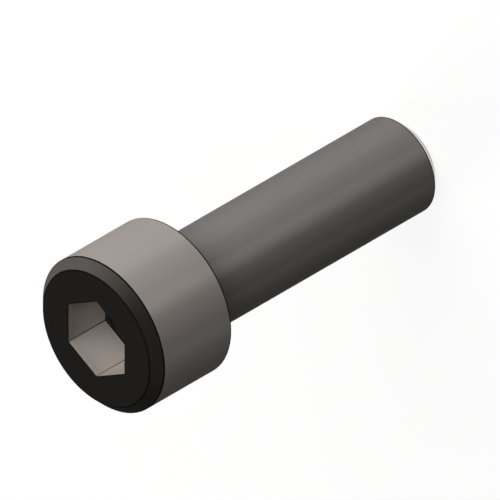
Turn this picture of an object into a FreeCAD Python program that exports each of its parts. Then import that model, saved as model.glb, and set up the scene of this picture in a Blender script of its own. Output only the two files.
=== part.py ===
import FreeCAD, Part

import math
import os

# Socket head cap screw, M8 by 25 long, with a plain shank. Millimetres, +Z up.
# It is one forged and turned piece, so it is one solid. It stands on the flat of its tip.
# The origin is the centre of that flat, and +Z runs up the axis to the socket in the head.

# Shank
SHANK_DIAMETER = 8.0
SHANK_LENGTH = 25.0
TIP_CHAMFER = 0.75
UNDERHEAD_FILLET = 0.4

# Head
HEAD_DIAMETER = 13.0
HEAD_HEIGHT = 8.0
TOP_CHAMFER = 0.8
RIM_ROUND = 0.1

# Hexagon socket, and the cone that the drill leaves below it
SOCKET_ACROSS_FLATS = 6.0
SOCKET_DEPTH = 4.0
DRILL_POINT_ANGLE = 120.0

SHANK_RADIUS = SHANK_DIAMETER / 2
HEAD_RADIUS = HEAD_DIAMETER / 2
BEARING_Z = SHANK_LENGTH
TOP_Z = BEARING_Z + HEAD_HEIGHT
SOCKET_FLOOR_Z = TOP_Z - SOCKET_DEPTH

ORIGIN = FreeCAD.Vector(0, 0, 0)
UP = FreeCAD.Vector(0, 0, 1)


def in_section(radius, height):
    """A point of the turned section, by its radius and its height on the axis."""
    return FreeCAD.Vector(radius, 0, height)


def quarter_round(centre_radius, centre_height, size, start_angle):
    """A quarter circle in the section, turning anticlockwise from start_angle in degrees."""
    points = []
    for turn in (0, 45, 90):
        angle = math.radians(start_angle + turn)
        radius = centre_radius + size * math.cos(angle)
        height = centre_height + size * math.sin(angle)
        points.append(in_section(radius, height))
    return Part.Arc(*points).toShape()


def shank_section():
    """Edges from the axis at the tip, up the shank and out through the fillet to the bearing face."""
    tip_centre = in_section(0, 0)
    tip_edge = in_section(SHANK_RADIUS - TIP_CHAMFER, 0)
    shank_foot = in_section(SHANK_RADIUS, TIP_CHAMFER)
    shank_top = in_section(SHANK_RADIUS, BEARING_Z - UNDERHEAD_FILLET)
    fillet_centre_radius = SHANK_RADIUS + UNDERHEAD_FILLET
    fillet_centre_height = BEARING_Z - UNDERHEAD_FILLET
    return [
        Part.makeLine(tip_centre, tip_edge),
        Part.makeLine(tip_edge, shank_foot),
        Part.makeLine(shank_foot, shank_top),
        quarter_round(fillet_centre_radius, fillet_centre_height, UNDERHEAD_FILLET, 90),
    ]


def head_section():
    """Edges from the fillet across the bearing face, round the head and in to the axis at its top."""
    face_inner = in_section(SHANK_RADIUS + UNDERHEAD_FILLET, BEARING_Z)
    face_outer = in_section(HEAD_RADIUS - RIM_ROUND, BEARING_Z)
    side_foot = in_section(HEAD_RADIUS, BEARING_Z + RIM_ROUND)
    side_top = in_section(HEAD_RADIUS, TOP_Z - TOP_CHAMFER)
    top_edge = in_section(HEAD_RADIUS - TOP_CHAMFER, TOP_Z)
    top_centre = in_section(0, TOP_Z)
    return [
        Part.makeLine(face_inner, face_outer),
        quarter_round(HEAD_RADIUS - RIM_ROUND, BEARING_Z + RIM_ROUND, RIM_ROUND, 270),
        Part.makeLine(side_foot, side_top),
        Part.makeLine(side_top, top_edge),
        Part.makeLine(top_edge, top_centre),
    ]


def turned_blank():
    """Shank and head, turned as one section about the axis."""
    axis_line = Part.makeLine(in_section(0, TOP_Z), in_section(0, 0))
    edges = shank_section() + head_section() + [axis_line]
    section = Part.Face(Part.Wire(edges))
    return section.revolve(ORIGIN, UP, 360)


def hexagon_socket():
    """The broached hexagon, with two of its flats facing +X and -X."""
    corner_radius = SOCKET_ACROSS_FLATS / 2 / math.cos(math.radians(30))
    corners = []
    for index in range(7):
        angle = math.radians(30 + 60 * index)
        x = corner_radius * math.cos(angle)
        y = corner_radius * math.sin(angle)
        corners.append(FreeCAD.Vector(x, y, SOCKET_FLOOR_Z))
    outline = Part.Face(Part.makePolygon(corners))
    return outline.extrude(UP * SOCKET_DEPTH)


def drill_point():
    """The cone below the socket's floor, as wide at its mouth as the hexagon is across its flats."""
    mouth_radius = SOCKET_ACROSS_FLATS / 2
    depth = mouth_radius / math.tan(math.radians(DRILL_POINT_ANGLE / 2))
    apex = FreeCAD.Vector(0, 0, SOCKET_FLOOR_Z - depth)
    return Part.makeCone(0, mouth_radius, depth, apex)


screw = turned_blank().cut(hexagon_socket()).cut(drill_point())

os.makedirs("parts", exist_ok=True)
screw.exportStep("parts/screw.step")
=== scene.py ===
import math

import bmesh
import bpy
from mathutils import Matrix, Vector


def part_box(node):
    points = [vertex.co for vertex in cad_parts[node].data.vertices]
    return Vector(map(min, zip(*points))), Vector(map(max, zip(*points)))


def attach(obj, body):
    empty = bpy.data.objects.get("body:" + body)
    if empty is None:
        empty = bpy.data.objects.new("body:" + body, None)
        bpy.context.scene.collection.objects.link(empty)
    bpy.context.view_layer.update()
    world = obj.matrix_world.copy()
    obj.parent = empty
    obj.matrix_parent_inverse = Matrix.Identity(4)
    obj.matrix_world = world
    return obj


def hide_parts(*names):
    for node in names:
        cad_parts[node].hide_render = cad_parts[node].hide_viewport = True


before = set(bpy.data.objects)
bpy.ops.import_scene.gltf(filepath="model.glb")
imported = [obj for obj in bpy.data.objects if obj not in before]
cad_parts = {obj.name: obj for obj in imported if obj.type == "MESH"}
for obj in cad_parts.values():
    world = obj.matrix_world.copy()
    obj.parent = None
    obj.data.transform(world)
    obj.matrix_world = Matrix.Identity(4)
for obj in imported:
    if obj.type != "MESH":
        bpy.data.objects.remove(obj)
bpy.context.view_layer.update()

# A socket head cap screw, standing on the flat of its tip with +Z up its axis to the socket.
# Lengths are metres, and MM turns a drawing's millimetres into them.
MM = 0.001
screw_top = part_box("screw")[1]

# The turned outline. The head's radius and the length are the frame's.
HEAD_RADIUS = screw_top.x
LENGTH = screw_top.z
HEAD_HEIGHT = 8.0 * MM
TOP_CHAMFER = 0.8 * MM
SHANK_RADIUS = 4.0 * MM
TIP_CHAMFER = 0.75 * MM
UNDERHEAD_FILLET = 0.4 * MM
BEARING_HEIGHT = LENGTH - HEAD_HEIGHT

# The socket. Two of its flats face +X and -X.
SOCKET_APOTHEM = 3.0 * MM
SOCKET_DEPTH = 4.0 * MM
SOCKET_FLOOR = LENGTH - SOCKET_DEPTH
DRILL_RADIUS = 2.96 * MM
DRILL_HALF_ANGLE = math.radians(60)
DRILL_POINT_DEPTH = DRILL_RADIUS / math.tan(DRILL_HALF_ANGLE)

# How the edges are broken
EDGE_ROUND = 0.06 * MM
RIM_ROUND = 0.10 * MM
MOUTH_ROUND = 0.05 * MM

# How wide the dark oxide is along an edge, and at the tip, the socket's mouth and the drill's cone
EDGE_LINE = 0.05 * MM
TIP_LINE = 0.20 * MM
MOUTH_LINE = 0.03 * MM
DRILL_LINE = 0.07 * MM

# How finely the mesh follows the round, and where the end face goes over from circles to hexagons
EDGE_STEPS = 5
ROUND_STEPS = 240
RING_ANGLES = [2 * math.pi * step / ROUND_STEPS for step in range(ROUND_STEPS)]
SHARP_ANGLE = math.radians(35)
FACE_RING_RADIUS = SOCKET_APOTHEM + 1.2 * MM
FACE_RING_APOTHEM = SOCKET_APOTHEM + 0.2 * MM

# The finishes, in the order of the screw's material slots
FINISHES = (
    "turned_shank",
    "head_side",
    "top_chamfer",
    "end_face",
    "socket_walls",
    "drilled_floor",
    "tip_chamfer",
    "plain_faces",
    "oxide_edges",
)


def rounded_corner(before, corner, after, size):
    """Points on the arc that rounds a corner of a section, from its first side to its second."""
    into = (corner - before).normalized()
    away = (after - corner).normalized()
    turn = into.angle(away)
    inward = (away - into * away.dot(into)).normalized()
    start = corner - into * size * math.tan(turn / 2)
    points = []
    for step in range(EDGE_STEPS + 1):
        angle = turn * step / EDGE_STEPS
        points.append(start + into * size * math.sin(angle) + inward * size * (1 - math.cos(angle)))
    return points


def rounded_section(corners):
    """Rounds a section of (radius, height, rounding, finish up to here) into (radius, height, finish)."""
    places = [Vector(corner[:2]) for corner in corners]
    section = [(places[0].x, places[0].y, None)]
    for index in range(1, len(corners) - 1):
        size, finish = corners[index][2:]
        line = TIP_LINE if index == 1 else EDGE_LINE
        arc = rounded_corner(places[index - 1], places[index], places[index + 1], size)
        into = (places[index] - places[index - 1]).normalized() * line
        away = (places[index + 1] - places[index]).normalized() * line
        edge = "turned_shank" if size == UNDERHEAD_FILLET else "oxide_edges"
        section.append((*(arc[0] - into), finish))
        section.extend((*point, edge) for point in arc)
        section.append((*(arc[-1] + away), edge))
    section.append((places[-1].x, places[-1].y, corners[-1][3]))
    return section


def outside_section():
    """The turned outline, from the axis at the tip to a ring of the end face round the socket."""
    shank, head, face = SHANK_RADIUS, HEAD_RADIUS, HEAD_RADIUS - TOP_CHAMFER
    return rounded_section([
        (0, 0, 0, None),
        (shank - TIP_CHAMFER, 0, EDGE_ROUND, "plain_faces"),
        (shank, TIP_CHAMFER, EDGE_ROUND, "tip_chamfer"),
        (shank, BEARING_HEIGHT, UNDERHEAD_FILLET, "turned_shank"),
        (head, BEARING_HEIGHT, RIM_ROUND, "plain_faces"),
        (head, LENGTH - TOP_CHAMFER, EDGE_ROUND, "head_side"),
        (face, LENGTH, EDGE_ROUND, "top_chamfer"),
        (FACE_RING_RADIUS, LENGTH, 0, "end_face"),
    ])


def socket_section():
    """The socket's mouth and walls, as (apothem, height, finish)."""
    flat = Vector((FACE_RING_APOTHEM, LENGTH))
    mouth = Vector((SOCKET_APOTHEM, LENGTH))
    floor = Vector((SOCKET_APOTHEM, SOCKET_FLOOR))
    arc = rounded_corner(flat, mouth, floor, MOUTH_ROUND)
    section = [(*flat, "end_face"), (arc[0].x + MOUTH_LINE, LENGTH, "end_face")]
    section.extend((*point, "oxide_edges") for point in arc)
    section.append((floor.x, floor.y + EDGE_LINE, "socket_walls"))
    section.append((*floor, "oxide_edges"))
    return section


def turned_ring(bm, radius, height):
    """A round ring of points about the axis."""
    return [bm.verts.new((radius * math.cos(a), radius * math.sin(a), height)) for a in RING_ANGLES]


def hexagon_ring(bm, apothem, height):
    """A ring of points on a hexagon about the axis, with two of its flats facing +X and -X."""
    ring = []
    for angle in RING_ANGLES:
        from_flat = (angle + math.pi / 6) % (math.pi / 3) - math.pi / 6
        radius = apothem / math.cos(from_flat)
        ring.append(bm.verts.new((radius * math.cos(angle), radius * math.sin(angle), height)))
    return ring


def skin(bm, first, second, finish):
    """Faces between two rings, or between a ring and a point on the axis, in that finish."""
    for step in range(ROUND_STEPS):
        after = (step + 1) % ROUND_STEPS
        corners = [first[step % len(first)], first[after % len(first)]]
        corners += [second[after % len(second)], second[step % len(second)]]
        face = bm.faces.new(list(dict.fromkeys(corners)))
        face.material_index = FINISHES.index(finish)


def drill_point(bm, socket_foot):
    """Closes the socket: the corners left between hexagon and drill, and the drill's cone."""
    mouth = turned_ring(bm, DRILL_RADIUS, SOCKET_FLOOR)
    skin(bm, socket_foot, mouth, "drilled_floor")
    inner_radius = DRILL_RADIUS - DRILL_LINE
    cone = turned_ring(bm, inner_radius, SOCKET_FLOOR - DRILL_LINE / math.tan(DRILL_HALF_ANGLE))
    skin(bm, mouth, cone, "oxide_edges")
    point = [bm.verts.new((0, 0, SOCKET_FLOOR - DRILL_POINT_DEPTH))]
    skin(bm, cone, point, "drilled_floor")


def screw_mesh():
    """The whole screw as one closed skin: tip, shank, head, end face, socket and drill point."""
    bm = bmesh.new()
    last = [bm.verts.new((0, 0, 0))]
    for radius, height, finish in outside_section()[1:]:
        ring = turned_ring(bm, radius, height)
        skin(bm, last, ring, finish)
        last = ring
    for apothem, height, finish in socket_section():
        ring = hexagon_ring(bm, apothem, height)
        skin(bm, last, ring, finish)
        last = ring
    drill_point(bm, last)
    bmesh.ops.recalc_face_normals(bm, faces=bm.faces)
    mesh = bpy.data.meshes.new("screw_skin")
    bm.to_mesh(mesh)
    bm.free()
    mesh.shade_smooth()
    mesh.set_sharp_from_angle(angle=SHARP_ANGLE)
    return mesh


def shader_group(name, inputs, outputs):
    """An empty node group. Its inputs are (name, kind, value) and its outputs (name, kind)."""
    group = bpy.data.node_groups.new(name, "ShaderNodeTree")
    for socket_name, kind, value in inputs:
        socket = group.interface.new_socket(socket_name, in_out="INPUT", socket_type="NodeSocket" + kind)
        socket.default_value = value
    for socket_name, kind in outputs:
        group.interface.new_socket(socket_name, in_out="OUTPUT", socket_type="NodeSocket" + kind)
    return group, group.nodes.new("NodeGroupInput"), group.nodes.new("NodeGroupOutput")


def node(tree, kind, **settings):
    """A new node of that kind with those settings."""
    made = tree.nodes.new("ShaderNode" + kind)
    for name, value in settings.items():
        setattr(made, name, value)
    return made


def plug(tree, source, target):
    """Sets a socket to a value, or links it to another node's socket."""
    if hasattr(source, "is_linked"):
        tree.links.new(source, target)
    else:
        target.default_value = source


def math_node(tree, operation, *values, clamp=False):
    """A Math node on those values or sockets, and its result."""
    made = node(tree, "Math", operation=operation, use_clamp=clamp)
    for socket, value in zip(made.inputs, values):
        plug(tree, value, socket)
    return made.outputs[0]


def stretch(tree, value, low, high, new_low, new_high, **settings):
    """A value taken from one range to another, and held inside it."""
    made = node(tree, "MapRange", **settings)
    for socket, number in zip(made.inputs, (value, low, high, new_low, new_high)):
        plug(tree, number, socket)
    return made.outputs[0]


def places_on_screw():
    """Group: height on the axis, distance from it and turn round it, in millimetres and turns."""
    outputs = (("Height", "Float"), ("Reach", "Float"), ("Turn", "Float"))
    group, _, end = shader_group("places_on_screw", (), outputs)
    where = node(group, "TexCoord")
    in_mm = node(group, "VectorMath", operation="SCALE")
    in_mm.inputs["Scale"].default_value = 1 / MM
    group.links.new(where.outputs["Object"], in_mm.inputs[0])
    parts = node(group, "SeparateXYZ")
    group.links.new(in_mm.outputs[0], parts.inputs[0])
    x, y, z = parts.outputs
    x_squared = math_node(group, "MULTIPLY", x, x)
    y_squared = math_node(group, "MULTIPLY", y, y)
    reach = math_node(group, "SQRT", math_node(group, "ADD", x_squared, y_squared))
    turn = math_node(group, "DIVIDE", math_node(group, "ARCTAN2", y, x), 2 * math.pi)
    for output, value in zip(end.inputs, (z, reach, turn)):
        group.links.new(value, output)
    return group


def tool_marks():
    """Group: fine lines left by a cutting tool, which advanced by Pitch along Travel."""
    group, start, end = shader_group(
        "tool_marks",
        (("Travel", "Float", 0.0), ("Pitch", "Float", 0.12), ("Unevenness", "Float", 0.5)),
        (("Height", "Float"), ("Tone", "Float")),
    )
    travel, pitch, unevenness = start.outputs[:3]
    count = math_node(group, "DIVIDE", travel, pitch)
    wander = node(group, "TexNoise", noise_dimensions="1D")
    wander.inputs["Detail"].default_value = 3.0
    wander.inputs["Roughness"].default_value = 0.65
    group.links.new(count, wander.inputs["W"])
    feed = math_node(group, "SINE", math_node(group, "MULTIPLY", count, 2 * math.pi))
    feed = stretch(group, feed, -1.0, 1.0, 0.0, 1.0)
    height = node(group, "Mix", data_type="FLOAT")
    plug(group, unevenness, height.inputs[0])
    plug(group, feed, height.inputs[2])
    plug(group, wander.outputs[0], height.inputs[3])
    group.links.new(height.outputs[0], end.inputs[0])
    group.links.new(wander.outputs[0], end.inputs[1])
    return group


def steel_tone():
    """Group: a steel colour that varies softly from place to place, and a roughness that follows it."""
    group, start, end = shader_group(
        "steel_tone",
        (("Colour", "Color", (0.3, 0.3, 0.3, 1)), ("Spread", "Float", 0.06), ("Patch", "Float", 2.0),
         ("Marks", "Float", 0.5), ("Mark Spread", "Float", 0.04), ("Roughness", "Float", 0.5)),
        (("Colour", "Color"), ("Roughness", "Float")),
    )
    colour, spread, patch, marks, mark_spread, roughness = start.outputs[:6]
    where = node(group, "TexCoord")
    cloud = node(group, "TexNoise")
    cloud.inputs["Detail"].default_value = 4.0
    scale = math_node(group, "DIVIDE", 1 / MM, patch)
    group.links.new(where.outputs["Object"], cloud.inputs["Vector"])
    group.links.new(scale, cloud.inputs["Scale"])
    patchy = math_node(group, "MULTIPLY", math_node(group, "SUBTRACT", cloud.outputs[0], 0.5), spread)
    lined = math_node(group, "MULTIPLY", math_node(group, "SUBTRACT", marks, 0.5), mark_spread)
    level = math_node(group, "ADD", math_node(group, "ADD", patchy, lined), 1.0)
    toned = node(group, "VectorMath", operation="SCALE")
    group.links.new(colour, toned.inputs[0])
    group.links.new(level, toned.inputs["Scale"])
    group.links.new(toned.outputs[0], end.inputs[0])
    smoother = math_node(group, "SUBTRACT", roughness, patchy, clamp=True)
    group.links.new(smoother, end.inputs[1])
    return group


def side_wash():
    """Group: 1 on the side of the screw at that turn, falling softly to 0 on the way round from it; it
    places painted shade and light.
    """
    group, start, end = shader_group(
        "side_wash",
        (("Turn", "Float", 0.0), ("Middle", "Float", 0.0), ("Near", "Float", 0.1), ("Far", "Float", 0.3)),
        (("Mask", "Float"),),
    )
    turn, middle, near, far = start.outputs[:4]
    apart = math_node(group, "SUBTRACT", turn, middle)
    apart = math_node(group, "ABSOLUTE", math_node(group, "WRAP", apart, 0.5, -0.5))
    mask = stretch(group, apart, near, far, 1.0, 0.0, interpolation_type="SMOOTHSTEP")
    group.links.new(mask, end.inputs[0])
    return group


def corner_lines():
    """Group: 1 along the upright corners of the socket, where the oxide gathers."""
    group, start, end = shader_group(
        "corner_lines",
        (("Turn", "Float", 0.0), ("Reach", "Float", 3.4), ("Width", "Float", 0.05)),
        (("Mask", "Float"),),
    )
    turn, reach, width = start.outputs[:3]
    corner = math_node(group, "WRAP", math_node(group, "SUBTRACT", turn, 1 / 12), 1 / 12, -1 / 12)
    apart = math_node(group, "MULTIPLY", math_node(group, "ABSOLUTE", corner), 2 * math.pi)
    apart = math_node(group, "MULTIPLY", apart, reach)
    mask = stretch(group, apart, math_node(group, "MULTIPLY", width, 0.5), width, 1.0, 0.0)
    group.links.new(mask, end.inputs[0])
    return group


PLACES = places_on_screw()
WASH = side_wash()
CORNERS = corner_lines()
MARKS = tool_marks()
TONE = steel_tone()


def group_node(tree, group, **values):
    """A placed group with its inputs set or linked, by name with underscores for spaces."""
    made = node(tree, "Group", node_tree=group)
    for name, value in values.items():
        plug(tree, value, made.inputs[name.replace("_", " ")])
    return made


def blended(tree, mask, base, other):
    """The base where the mask is 0, and the other colour where it is 1."""
    mix = node(tree, "Mix", data_type="RGBA")
    plug(tree, mask, mix.inputs["Factor"])
    plug(tree, base, mix.inputs[6])
    plug(tree, (*other, 1), mix.inputs[7])
    return mix.outputs[2]


# Colours of the steel, of the oxide on it and of painted shade and light
SHANK_STEEL = (0.238, 0.226, 0.217)
HEAD_STEEL = (0.392, 0.355, 0.332)
SOCKET_STEEL = (0.322, 0.289, 0.265)
BARE_STEEL = (0.682, 0.643, 0.616)
PLAIN_STEEL = (0.30, 0.28, 0.265)
# The chamfer's near-black colour is painted shade, and its two paler patches are painted light
CHAMFER_PAINTED_SHADE = (0.0206, 0.0198, 0.0179)
CHAMFER_PAINTED_LIGHT = (0.0975, 0.089, 0.0837)
CHAMFER_FAINT_PAINTED_LIGHT = (0.030, 0.029, 0.027)
# The end face's and the drilled floor's near-black colours are painted shade
FACE_PAINTED_SHADE = (0.0154, 0.0145, 0.0130)
DRILLED_PAINTED_SHADE = (0.036, 0.0338, 0.0315)
CORNER_OXIDE = (0.05, 0.046, 0.042)
EDGE_OXIDE = (0.008, 0.0075, 0.007)

# Where bands of painted shade and painted light lie round the screw, in turns: a patch's middle, and where
# its fading starts and ends
HEAD_SHADE = (0.072, 0.02, 0.06)
HEAD_FAINT_SHADE = (0.172, 0.015, 0.05)
SHANK_SHADE = (0.062, 0.02, 0.05)
SHANK_PAINTED_LIGHT = (0.135, 0.008, 0.035)
SHANK_SLIGHT_SHADE = (0.175, 0.015, 0.045)
SHANK_FAINT_SHADE = (0.36, 0.03, 0.12)
CHAMFER_PALE = (0.36, 0.05, 0.255)
CHAMFER_DULL = (-0.125, 0.10, 0.20)

# How bright such a band of painted shade or light is beside the steel round it
SHADE = 0.75
FAINT_SHADE = 0.87
SLIGHT_SHADE = 0.93
PALE = 1.11

# Painted light against the shade deep in the socket: how bright the walls are at their foot beside their
# top, and from where to where they get paler, in millimetres
DEEP_PAINTED_LIGHT = 2.10
DEEP_START = (LENGTH - 0.5 * MM) / MM
DEEP_END = SOCKET_FLOOR / MM

# The tool's marks and the steel's soft patches, in millimetres
MARK_PITCH = 0.12
PATCH_SIZE = 2.0
ROUND_THE_SOCKET = 18.0

# How much of their bump and of their colour the marks and the patches show
MARK_BUMP = 0.3
MARK_TONE = 0.15
PATCH_SPREAD = 0.06
BUMP_HEIGHT = 0.004 * MM

# Shine: the oxide is matt, and the bare steel at the tip is not
MATT = 0.70
SATIN = 0.35
FAINT_SHINE = 0.03
NO_SHINE = 0.0


def shaded(colour, share):
    """The colour at that share of its brightness."""
    return tuple(channel * share for channel in colour)


def bands(steel, *placed):
    """Washes that paint bands of shade and light on that steel, each with its share of the steel's
    brightness and its place.
    """
    return [(shaded(steel, share), place) for share, place in placed]


def steel_finish(name, colour, travel, span=1.0, marks=MARK_BUMP, roughness=MATT, metallic=0.0,
                 shine=FAINT_SHINE, washes=(), deep=None, corners=None):
    """Steel in that colour, with tool marks along Height, Reach or Turn, where a unit of it is span long."""
    material = bpy.data.materials.new(name)
    material.use_nodes = True
    tree = material.node_tree
    shader = tree.nodes["Principled BSDF"]
    places = group_node(tree, PLACES)
    height, reach, turn = places.outputs
    run = math_node(tree, "MULTIPLY", places.outputs[travel], span)
    lines = group_node(tree, MARKS, Travel=run, Pitch=MARK_PITCH)
    base = (*colour, 1)
    # Washes paint bands of shade and light round the screw, and deep paints light into the socket's foot
    # against its shade
    for other, (middle, near, far) in washes:
        wash = group_node(tree, WASH, Turn=turn, Middle=middle, Near=near, Far=far)
        base = blended(tree, wash.outputs["Mask"], base, other)
    if deep:
        depth = stretch(tree, height, DEEP_START, DEEP_END, 0.0, 1.0)
        base = blended(tree, depth, base, deep)
    if corners:
        lined = group_node(tree, CORNERS, Turn=turn, Reach=reach)
        base = blended(tree, lined.outputs["Mask"], base, corners)
    tone = group_node(tree, TONE, Colour=base, Spread=PATCH_SPREAD, Patch=PATCH_SIZE, Roughness=roughness,
                      Marks=lines.outputs["Tone"], Mark_Spread=marks * MARK_TONE)
    tree.links.new(tone.outputs["Colour"], shader.inputs["Base Color"])
    tree.links.new(tone.outputs["Roughness"], shader.inputs["Roughness"])
    bump = node(tree, "Bump")
    bump.inputs["Strength"].default_value = marks
    bump.inputs["Distance"].default_value = BUMP_HEIGHT
    tree.links.new(lines.outputs["Height"], bump.inputs["Height"])
    tree.links.new(bump.outputs[0], shader.inputs["Normal"])
    shader.inputs["Metallic"].default_value = metallic
    shader.inputs["Specular IOR Level"].default_value = shine
    return material


def turned_shank():
    """The shank, with a band of painted shade along it, one of painted light beside that and two fainter
    bands of painted shade.
    """
    washes = bands(SHANK_STEEL, (SHADE, SHANK_SHADE), (PALE, SHANK_PAINTED_LIGHT),
                   (SLIGHT_SHADE, SHANK_SLIGHT_SHADE), (FAINT_SHADE, SHANK_FAINT_SHADE))
    return steel_finish("turned_shank", SHANK_STEEL, "Height", washes=washes)


def head_side():
    """The head's side, with a band of painted shade across it and a fainter one beside that."""
    washes = bands(HEAD_STEEL, (SHADE, HEAD_SHADE), (FAINT_SHADE, HEAD_FAINT_SHADE))
    return steel_finish("head_side", HEAD_STEEL, "Height", washes=washes)


def top_chamfer():
    """The chamfer round the end face, near-black as painted shade, with painted light fading round it from
    one side.
    """
    washes = [(CHAMFER_PAINTED_LIGHT, CHAMFER_PALE), (CHAMFER_FAINT_PAINTED_LIGHT, CHAMFER_DULL)]
    return steel_finish("top_chamfer", CHAMFER_PAINTED_SHADE, "Height", shine=NO_SHINE, washes=washes)


def socket_walls():
    """The broached walls, with painted light growing towards the floor against the shade there, marks that
    run down them and dark corners.
    """
    deep = shaded(SOCKET_STEEL, DEEP_PAINTED_LIGHT)
    return steel_finish("socket_walls", SOCKET_STEEL, "Turn", span=ROUND_THE_SOCKET,
                        deep=deep, corners=CORNER_OXIDE)


def finishes():
    """One material for each finish, in the order of FINISHES."""
    return [
        turned_shank(),
        head_side(),
        top_chamfer(),
        steel_finish("end_face", FACE_PAINTED_SHADE, "Reach", shine=NO_SHINE),
        socket_walls(),
        steel_finish("drilled_floor", DRILLED_PAINTED_SHADE, "Reach"),
        steel_finish("tip_chamfer", BARE_STEEL, "Height", metallic=1.0, roughness=SATIN),
        steel_finish("plain_faces", PLAIN_STEEL, "Reach"),
        steel_finish("oxide_edges", EDGE_OXIDE, "Height", marks=0.0, shine=NO_SHINE),
    ]


def build_screw():
    """The dressed screw, in place of the plain one."""
    screw = bpy.data.objects.new("screw_dressed", screw_mesh())
    bpy.context.scene.collection.objects.link(screw)
    for material in finishes():
        screw.data.materials.append(material)
    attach(screw, "root")
    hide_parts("screw")


# The floor. The camera and reflections see it nearly white, and it throws little light back on the screw.
FLOOR_SIZE = 2.0
FLOOR_GLOW = 0.865
FLOOR_SEEN = (0.15, 0.15, 0.15, 1)
FLOOR_BOUNCE = (0.13, 0.13, 0.13, 1)
WHITE = (1, 1, 1, 1)


def floor_finish():
    """White to the camera and in reflections, with the screw's shadow on it, and grey to other light."""
    material = bpy.data.materials.new("pale_floor")
    material.use_nodes = True
    tree = material.node_tree
    tree.nodes.clear()
    rays = node(tree, "LightPath")
    shown = math_node(tree, "MAXIMUM", rays.outputs["Is Camera Ray"], rays.outputs["Is Glossy Ray"])
    shown = math_node(tree, "MAXIMUM", shown, rays.outputs["Is Transmission Ray"])
    glow = node(tree, "Emission")
    glow.inputs["Color"].default_value = WHITE
    glow.inputs["Strength"].default_value = FLOOR_GLOW
    card = node(tree, "BsdfDiffuse")
    card.inputs["Color"].default_value = FLOOR_SEEN
    white = node(tree, "AddShader")
    tree.links.new(glow.outputs[0], white.inputs[0])
    tree.links.new(card.outputs[0], white.inputs[1])
    bounce = node(tree, "BsdfDiffuse")
    bounce.inputs["Color"].default_value = FLOOR_BOUNCE
    choice = node(tree, "MixShader")
    tree.links.new(shown, choice.inputs[0])
    tree.links.new(bounce.outputs[0], choice.inputs[1])
    tree.links.new(white.outputs[0], choice.inputs[2])
    out = node(tree, "OutputMaterial")
    tree.links.new(choice.outputs[0], out.inputs["Surface"])
    return material


def build_floor():
    """A pale floor under the tip."""
    half = FLOOR_SIZE / 2
    mesh = bpy.data.meshes.new("floor")
    corners = [(-half, -half, 0), (half, -half, 0), (half, half, 0), (-half, half, 0)]
    mesh.from_pydata(corners, [], [(0, 1, 2, 3)])
    mesh.materials.append(floor_finish())
    floor = bpy.data.objects.new("floor", mesh)
    bpy.context.scene.collection.objects.link(floor)


SCREW_MIDDLE = Vector((0, 0, LENGTH / 2))

# The lamps in front are so broad and low that their light reaches the shank close under the head.
LAMP_DISTANCE = 0.30
BROAD_LAMP = 0.34
SMALL_LAMP = 0.14
ROOM_COLOUR = (1.0, 0.98, 0.96, 1)
ROOM_LEVEL = 0.04


def direction(azimuth, elevation):
    """Unit vector from the screw, with the azimuth in degrees from +X towards +Y."""
    a, e = math.radians(azimuth), math.radians(elevation)
    return Vector((math.cos(a) * math.cos(e), math.sin(a) * math.cos(e), math.sin(e)))


def soft_lamp(name, azimuth, elevation, size, level, colour):
    """A square lamp facing the screw. At level 1 a small one makes a card that faces it render white."""
    data = bpy.data.lights.new(name, "AREA")
    data.shape = "SQUARE"
    data.size = size
    data.energy = level * (math.pi * LAMP_DISTANCE) ** 2
    data.color = colour
    lamp = bpy.data.objects.new(name, data)
    bpy.context.scene.collection.objects.link(lamp)
    away = direction(azimuth, elevation)
    lamp.location = SCREW_MIDDLE + away * LAMP_DISTANCE
    lamp.rotation_euler = away.to_track_quat("Z", "Y").to_euler()
    lamp.visible_camera = False


def build_lights():
    """A broad warm lamp at one side, a cool one above it, a small one on the far side and a dim room."""
    soft_lamp("side_lamp", 112, 33, BROAD_LAMP, 0.84, (1.0, 0.975, 0.955))
    soft_lamp("front_lamp", 76, 41, BROAD_LAMP, 0.655, (0.985, 1.0, 1.0))
    soft_lamp("back_lamp", -134, 20, SMALL_LAMP, 0.70, (1.0, 0.99, 0.98))
    world = bpy.data.worlds.new("room")
    world.use_nodes = True
    background = world.node_tree.nodes["Background"]
    background.inputs["Color"].default_value = ROOM_COLOUR
    background.inputs["Strength"].default_value = ROOM_LEVEL
    bpy.context.scene.world = world


# The view is isometric: the camera looks along the diagonal of X, Y and Z, rolled so that +Y is up.
CAMERA_BACK = Vector((1, 1, 1)).normalized()
CAMERA_UP = Vector((-1, 2, -1)).normalized()
CAMERA_DISTANCE = 0.12
NEAR_CLIP = 1 * MM
FAR_CLIP = 10.0

# The width that the picture takes in, and how far the screw's middle stands to the right of the picture's
VIEW_WIDTH = 37.8 * MM
VIEW_SHIFT = 0.035 * MM


def build_camera():
    """A camera with no perspective, at the picture's viewing angle."""
    data = bpy.data.cameras.new("camera")
    data.type = "ORTHO"
    data.ortho_scale = VIEW_WIDTH
    data.clip_start = NEAR_CLIP
    data.clip_end = FAR_CLIP
    camera = bpy.data.objects.new("camera", data)
    bpy.context.scene.collection.objects.link(camera)
    right = CAMERA_UP.cross(CAMERA_BACK)
    axes = Matrix((right, CAMERA_UP, CAMERA_BACK)).transposed()
    place = SCREW_MIDDLE + CAMERA_BACK * CAMERA_DISTANCE - right * VIEW_SHIFT
    camera.matrix_world = Matrix.Translation(place) @ axes.to_4x4()
    bpy.context.scene.camera = camera


build_camera()
build_screw()
build_floor()
build_lights()
bpy.context.scene.view_settings.view_transform = "Standard"
